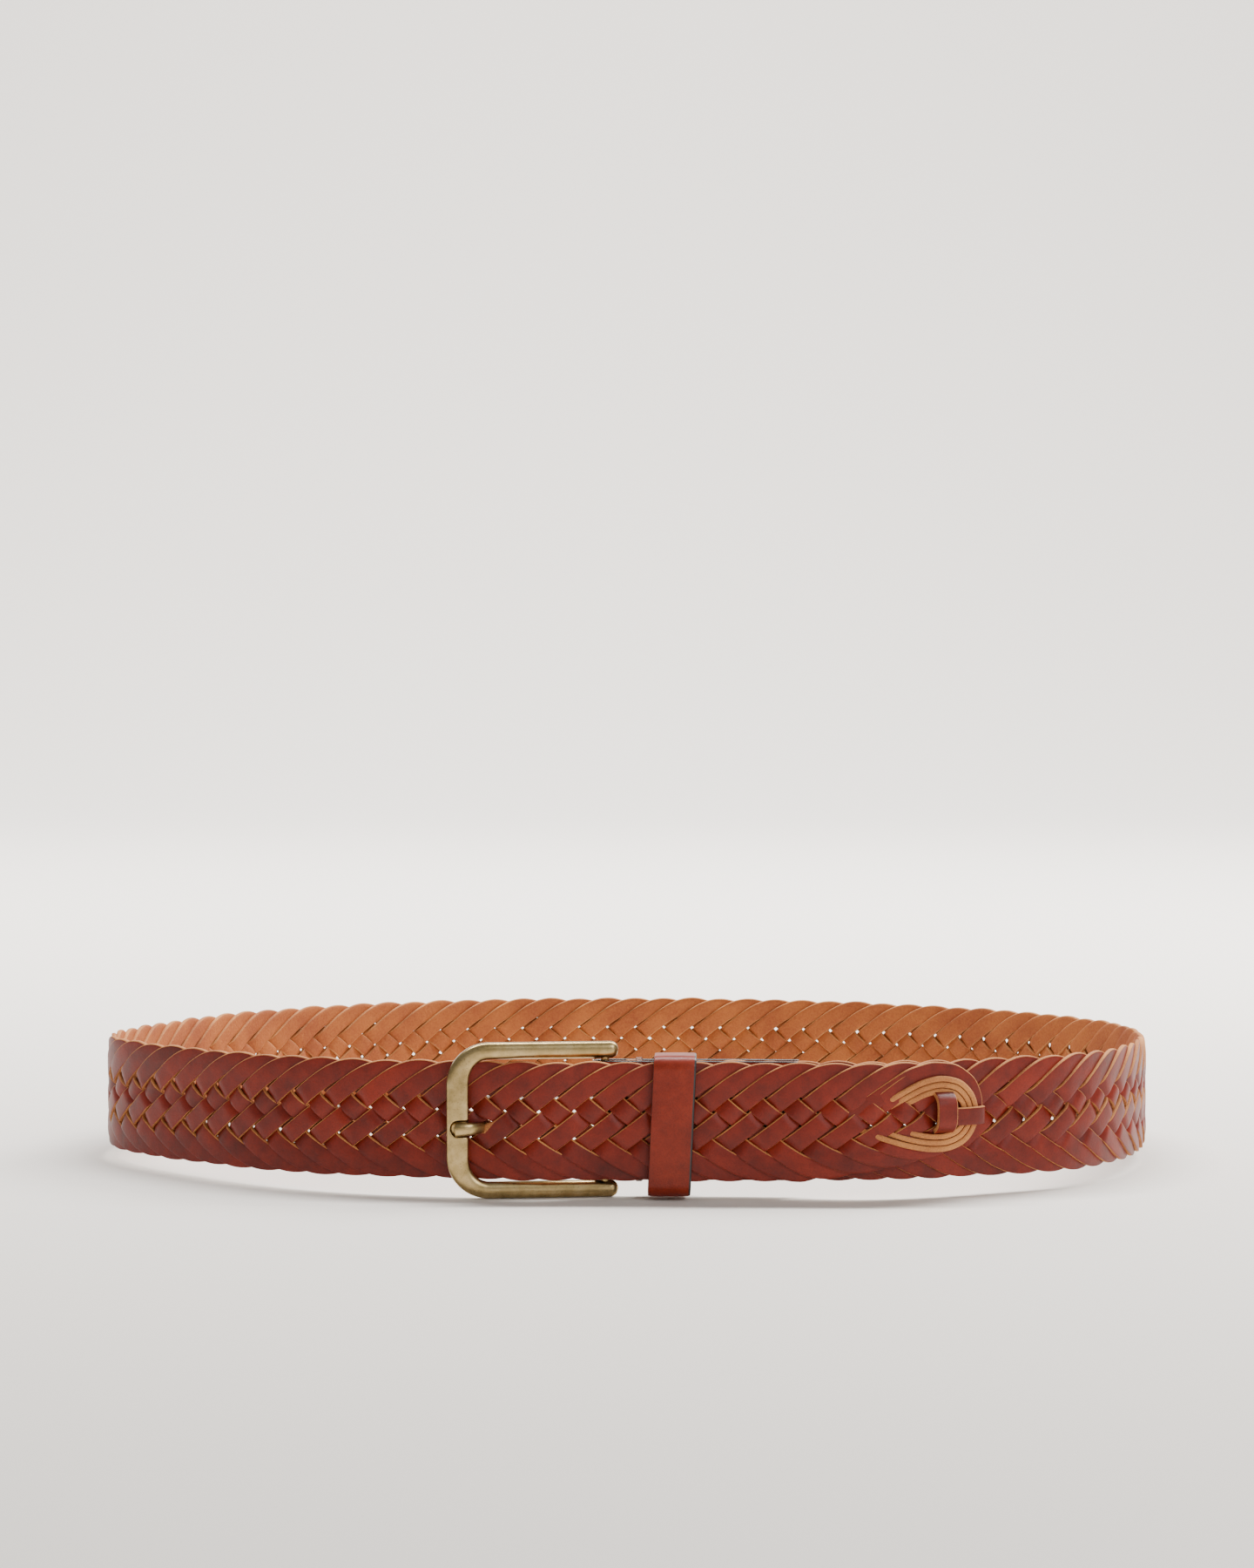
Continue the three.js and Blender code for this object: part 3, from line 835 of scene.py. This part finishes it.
def frame_rows():
    """The frame's middle line: place, outward direction, half width and share of the front bar."""
    half_arm = ARM_HEIGHT / 2
    half_bar = FRAME_BAR_WIDTH / 2
    left = -FRAME_REACH - half_bar
    corner_x = left + FRAME_CORNER
    corner_y = OUTER_HALF - FRAME_CORNER
    arm_x = np.linspace(ARM_END, corner_x, ARM_ROWS)
    arm = [(x, OUTER_HALF - half_arm, 0, 1, half_arm, 0) for x in arm_x]
    for t in np.linspace(0, 1, CORNER_ROWS)[1:-1]:
        angle = math.pi / 2 * t
        half = half_arm + (half_bar - half_arm) * float(smoothstep(t, 0, 1))
        away = (-math.sin(angle), math.cos(angle))
        r = FRAME_CORNER - half
        arm.append((corner_x + away[0] * r, corner_y + away[1] * r, *away, half, t))
    upper = np.array(arm)
    lower = upper[::-1] * [1, -1, 1, -1, 1, 1]
    bar_y = np.linspace(corner_y, -corner_y, BAR_ROWS)
    bar = np.array([(left + half_bar, y, -1, 0, half_bar, 1) for y in bar_y])
    return np.concatenate([upper, bar, lower])


def notch_depth(x, z, high):
    """How far a point of the frame is pressed in, to seat the prong."""
    past = np.minimum(x - NOTCH_END - PRONG_WIDTH / 2, 0)
    aside = np.hypot(past, z - PRONG_LOW) - PRONG_WIDTH / 2
    on_bar = x < -FRAME_REACH + FRAME_BAR_WIDTH
    return NOTCH * (1 - smoothstep(aside, *NOTCH_WALL)) * on_bar * np.clip(-high, 0, 1)


def buckle_frame():
    rows = frame_rows()
    length = lengths(rows[:, :2])
    from_end = np.minimum(length, length[-1] - length)
    size = np.sqrt(np.clip(1 - np.clip(1 - from_end / END_ROUNDING, 0, 1) ** 2, 0.004, 1))
    around = 64

    def points(row, column):
        x, z, away_x, away_z, half, bar_share = rows[row].T
        across, high = soft_box(column, around, 0.85 - 0.35 * bar_share)
        across = across * size[row] * half
        high = high * size[row] * FRAME_THICKNESS / 2
        px, pz = x + away_x * across, z + away_z * across
        return in_buckle(px, high + notch_depth(px, pz, high), pz)

    def uv(row, column):
        return np.stack([length[row] * MM, column / around], axis=-1)

    return sweep("buckle_frame_brass", len(rows) - 1, points, uv, [0] * around, [brass])


frame_piece = buckle_frame()
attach(frame_piece, "buckle")
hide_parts("buckle_frame")
print("buckle frame", [round(c / MM, 1) for c in frame_piece.dimensions])

# %% Hinge bar
bar_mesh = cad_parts["buckle_bar"].data
bar_mesh.materials.clear()
bar_mesh.materials.append(brass)
print("the bar keeps its own shape, in", brass.name)

# %% [markdown]
# ## The prong
# A flat rod with an eye at the bar. It lies behind the strap, is slimmer where it rises through the
# braid, and rests in the notch of the front bar.

# %% Prong
PRONG_THICK = 2.4
PRONG_STEPS = 90
SHANK_SLIMMER = 0.28  # by this share, where it goes through the braid
SLIM_LENGTH = 4.5
TIP_ROUNDING = 0.05  # the share of the length that rounds off to the tip
EYE_RADIUS = 2
EYE_WALL = 0.7


def prong_piece():
    seat = -FRAME_THICKNESS / 2 + NOTCH - GAP - PRONG_THICK / 2 + 0.45
    eye_end = BAR_RADIUS + GAP + PRONG_THICK / 4
    knots = np.array(
        [
            (-eye_end, 0.5, 0),
            (-4, 2.2, 0),
            (-HOLE_AT / 3, 3.4, PRONG_LOW * 0.4),
            (-HOLE_AT + 3, 4.4, PRONG_LOW),
            (-HOLE_AT - 1.5, 1.4, PRONG_LOW),
            (-HOLE_AT - 5.4, seat, PRONG_LOW),
            (-FRAME_REACH + 0.4, seat - 0.1, PRONG_LOW - 0.1),
            (-FRAME_REACH - 1, seat + 0.1, PRONG_LOW - 0.4),
        ]
    )
    where = np.linspace(0, len(knots) - 1, PRONG_STEPS + 1)
    line = np.stack([np.interp(where, range(len(knots)), knots[:, k]) for k in range(3)], axis=-1)
    line = softened(line, 30)
    across = np.array([0, 0, 1.0])
    face = np.cross(unit(np.gradient(line, axis=0)), across)
    to_tip = np.linspace(1, 0, PRONG_STEPS + 1)
    rounding = np.sqrt(np.clip(1 - np.clip(1 - to_tip / TIP_ROUNDING, 0, 1) ** 2, 0.02, 1))
    in_hole = np.exp(-(((line[:, 0] + HOLE_AT - HOLE_SHIFT) / SLIM_LENGTH) ** 2))
    size = rounding * (1 - SHANK_SLIMMER * in_hole)
    around = 20

    def points(row, column):
        c, s = soft_box(column, around, 0.8)
        p = (
            line[row]
            + across * (PRONG_WIDTH / 2 * c * size[row])[:, None]
            + face[row] * (PRONG_THICK / 2 * s * size[row])[:, None]
        )
        return in_buckle(*p.T)

    def uv(row, column):
        return np.stack([row / PRONG_STEPS * 0.05, column / around], axis=-1)

    return sweep("prong_brass", PRONG_STEPS, points, uv, [0] * around, [brass])


def from_bmesh(name, bm, materials):
    """A smooth-shaded piece from a bmesh, with its normals facing out."""
    bmesh.ops.recalc_face_normals(bm, faces=bm.faces)
    mesh = bpy.data.meshes.new(name)
    bm.to_mesh(mesh)
    bm.free()
    mesh.polygons.foreach_set("use_smooth", np.ones(len(mesh.polygons), bool))
    return finished(name, mesh, materials)


def prong_eye():
    bm = bmesh.new()
    bmesh.ops.create_cone(
        bm, cap_ends=False, segments=32, radius1=EYE_RADIUS, radius2=EYE_RADIUS, depth=PRONG_WIDTH
    )
    bmesh.ops.solidify(bm, geom=bm.faces[:], thickness=EYE_WALL)
    for v in bm.verts:
        v.co = Vector(in_buckle(v.co.x, v.co.y, v.co.z))
    return from_bmesh("prong_eye_brass", bm, [brass])


prong = prong_piece()
eye = prong_eye()
for piece in (prong, eye):
    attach(piece, "prong")
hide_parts("prong")
print("prong", [round(c / MM, 1) for c in prong.dimensions])

# %% [markdown]
# ## The tab
# A strip of smooth leather, folded round the bar. Its two leaves hold the ends of the strands, and
# its edges are painted dark.

# %% Tab
BAND_MATERIALS = [band_face, strand_back, edge_paint]


def tab_piece():
    """Swept from the end of the outer leaf, round the bar and back along the inner leaf."""
    leaf_steps, fold_steps = 40, 16
    leaf = [(TAB_LENGTH * i / leaf_steps, 0) for i in range(leaf_steps + 1)]
    stations = [(s, along, 1) for s, along in reversed(leaf)]
    for i in range(1, fold_steps):
        angle = math.pi / 2 - math.pi * i / fold_steps
        stations.append((0, -math.cos(angle), math.sin(angle)))
    stations += [(s, along, -1) for s, along in leaf]
    line = np.array(stations)
    steps = len(line) - 1
    section = strip_section(BELT_WIDTH, TAB_LEATHER, 0)

    def points(row, column):
        s, along, across = line[row].T
        r = TAB_SPREAD + section[column, 1]
        return place(s + along * r, section[column, 0], across * r - TAB_INSET)

    def uv(row, column):
        return np.stack([row / steps * 0.12, column / len(section)], axis=-1)

    return sweep("tab_leather", steps, points, uv, STRIP_COLUMNS, BAND_MATERIALS, end=EDGE)


tab = tab_piece()
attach(tab, "strap")
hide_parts("buckle_tab")
print("tab", [round(c / MM, 1) for c in tab.dimensions])

# %% [markdown]
# ## The keeper
# A band of the same smooth leather closes round the tab and the free end, beside the buckle. Its
# edges are painted dark, and its corners are soft. It hangs a little low and leans.

# %% Keeper
KEEPER_LEATHER = 1.8
KEEPER_ROOM = 1.3  # over and under the strap
KEEPER_HANG = 1.2
KEEPER_LEAN = 0.045
KEEPER_CORNER = 2.6


def keeper_line(high, half):
    """The band's middle line as (up, out), from the top, down the front and up the back."""
    corners = []
    for quarter in range(4):
        corner_up = (high - KEEPER_CORNER) * (1 if quarter in (0, 3) else -1)
        corner_out = (half - KEEPER_CORNER) * (1 if quarter in (0, 1) else -1)
        for k in range(9):
            angle = math.pi / 2 * (quarter + k / 8)
            up = corner_up + KEEPER_CORNER * math.cos(angle)
            corners.append((up, corner_out + KEEPER_CORNER * math.sin(angle)))
    return np.array(corners + corners[:1])


def keeper_piece():
    front = HALF_STRAP + 3 * GAP + KEEPER_LEATHER / 2
    back = TAB_INSET + TAB_SPREAD + TAB_LEATHER / 2 + GAP + KEEPER_LEATHER / 2
    high = BELT_WIDTH / 2 + KEEPER_ROOM + KEEPER_LEATHER / 2
    middle = (front - back) / 2
    count = 160
    loop = keeper_line(high, (front + back) / 2)
    length = lengths(loop)
    even = np.linspace(0, length[-1], count + 1)
    line = np.stack([np.interp(even, length, loop[:, k]) for k in (0, 1)], axis=-1)
    ahead = np.roll(line[:-1], -1, axis=0) - np.roll(line[:-1], 1, axis=0)
    ahead = unit(np.vstack([ahead, ahead[:1]]))
    outward = np.stack([ahead[:, 1], -ahead[:, 0]], axis=-1)
    section = strip_section(KEEPER_WIDTH, KEEPER_LEATHER, 0.12, bare=0.55)

    def points(row, column):
        up, out = (line[row] + outward[row] * section[column, 1][:, None]).T
        s = KEEPER_AT + section[column, 0] + KEEPER_LEAN * up
        return place(s, up - KEEPER_HANG, out + middle)

    def uv(row, column):
        return np.stack([row / count * 0.11, column / len(section)], axis=-1)

    return sweep("keeper_leather", count, points, uv, STRIP_COLUMNS, BAND_MATERIALS, closed=True)


keeper = keeper_piece()
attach(keeper, "keeper")
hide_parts("keeper")
print("keeper", [round(c / MM, 1) for c in keeper.dimensions])

# %% [markdown]
# ## Tack stitches
# Close to the bar, a few turns of thread at each edge hold the tab's two leaves together. Each is a
# coil round both leaves that moves along a little with every turn.

# %% Tack stitches
STITCH_AT = 10.3
STITCH_TURNS = 3
STITCH_STEPS = 120
THREAD_RADIUS = 0.38
COIL_MIDDLE = BELT_WIDTH / 2 - 1.6
COIL_HALF = 2.1
COIL_OUT = TAB_SPREAD + TAB_LEATHER / 2 + 0.15
TURN_STEP = 0.45  # along the strap
SLANT = 0.4


def stitch_piece(name, side):
    t = np.linspace(0, 1, STITCH_STEPS + 1)
    angle = 2 * np.pi * STITCH_TURNS * t
    s = STITCH_AT + TURN_STEP * STITCH_TURNS * (t - 0.5) + SLANT * np.sin(angle)
    up = side * (COIL_MIDDLE + COIL_HALF * np.cos(angle))
    line = place(s, up, -TAB_INSET + COIL_OUT * np.sin(angle))
    ahead = unit(np.gradient(line, axis=0))
    first = unit(np.cross(ahead, [0.3, 0.1, 1.0]))
    second = np.cross(ahead, first)
    around = 8

    def points(row, column):
        a = 2 * np.pi * column[:, None] / around
        return line[row] + (first[row] * np.cos(a) + second[row] * np.sin(a)) * THREAD_RADIUS * MM

    def uv(row, column):
        return np.stack([t[row] * 0.06, column / around], axis=-1)

    return sweep(name, STITCH_STEPS, points, uv, [0] * around, [thread])


for name, side in (("stitch_top", 1), ("stitch_bottom", -1)):
    piece = stitch_piece("tack_" + name, side)
    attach(piece, "strap")
    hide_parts(name)
    print(piece.name, [round(c / MM, 1) for c in piece.dimensions])

# %% [markdown]
# ## Floor, light and camera
# A pale matt floor runs up into a backdrop with no corner. A soft key light stands behind and to
# the right, so the shadow falls forward and to the left. A weaker one in front, also on the right,
# fills the leather's face. A long strip overhead lights the wall, and the world fills the rest.

# %% Floor
FLOOR_HALF_WIDTH = 6  # metres, as all sizes from here on
FLOOR_FRONT = -2.5
FLOOR_DEPTH = 4.5
WALL_CURVE = 2.0


def backdrop():
    bm = bmesh.new()
    bmesh.ops.create_grid(bm, x_segments=1, y_segments=40, size=1)
    for v in bm.verts:
        flat = min(v.co.y + 1, 1)
        angle = max(v.co.y, 0) * math.pi / 2
        y = FLOOR_FRONT + flat * FLOOR_DEPTH + WALL_CURVE * math.sin(angle)
        v.co = Vector((v.co.x * FLOOR_HALF_WIDTH, y, WALL_CURVE * (1 - math.cos(angle))))
    paper = new_material("matt_paper", Base_Color=linear("#DAD4CD"), Roughness=0.9)[0]
    return from_bmesh("studio_floor", bm, [paper])


floor = backdrop()
print("floor and wall", [round(c, 1) for c in floor.dimensions])

# %% Lights
BELT_MIDDLE = (0, 0, 0.02)


def soft_light(name, stands_at, look_at, size, power, colour):
    data = bpy.data.lights.new(name, "AREA")
    data.shape = "RECTANGLE"
    data.size, data.size_y = size
    data.energy = power
    data.color = colour
    light = bpy.data.objects.new(name, data)
    light.location = stands_at
    aim = Vector(look_at) - Vector(stands_at)
    light.rotation_euler = aim.to_track_quat("-Z", "Y").to_euler()
    bpy.context.scene.collection.objects.link(light)
    print(name, power, "W")


soft_light("key_light", (0.95, 0.6, 1.15), BELT_MIDDLE, (0.7, 0.7), 35.55, (1, 0.98, 0.95))
soft_light("front_fill", (0.9, -1.3, 0.8), BELT_MIDDLE, (1.0, 0.8), 12.59, (1, 1, 1))
soft_light("wall_light", (0, 0.6, 2.2), (0, 2.6, 0.6), (2.5, 0.6), 355.06, (1, 1, 1))
world = bpy.data.worlds.new("studio_air")
world.use_nodes = True
world_shader = world.node_tree.nodes["Background"]
world_shader.inputs["Color"].default_value = linear("#F4F3F1")
world_shader.inputs["Strength"].default_value = 0.37
bpy.context.scene.world = world

# %% Camera
CAMERA_AT = (0, -1.126, 0.1652)
CAMERA_DOWN = 2.385  # degrees
camera_data = bpy.data.cameras.new("camera")
camera_data.sensor_fit = "VERTICAL"
camera_data.sensor_height = 36
camera_data.lens = 81.8
camera = bpy.data.objects.new("camera", camera_data)
camera.location = Vector(CAMERA_AT) + Vector(shift)
camera.rotation_euler = (math.radians(90 - CAMERA_DOWN), 0, 0)
bpy.context.scene.collection.objects.link(camera)
bpy.context.scene.camera = camera
print("camera at", [round(c, 3) for c in camera.location], "looking down", CAMERA_DOWN, "degrees")
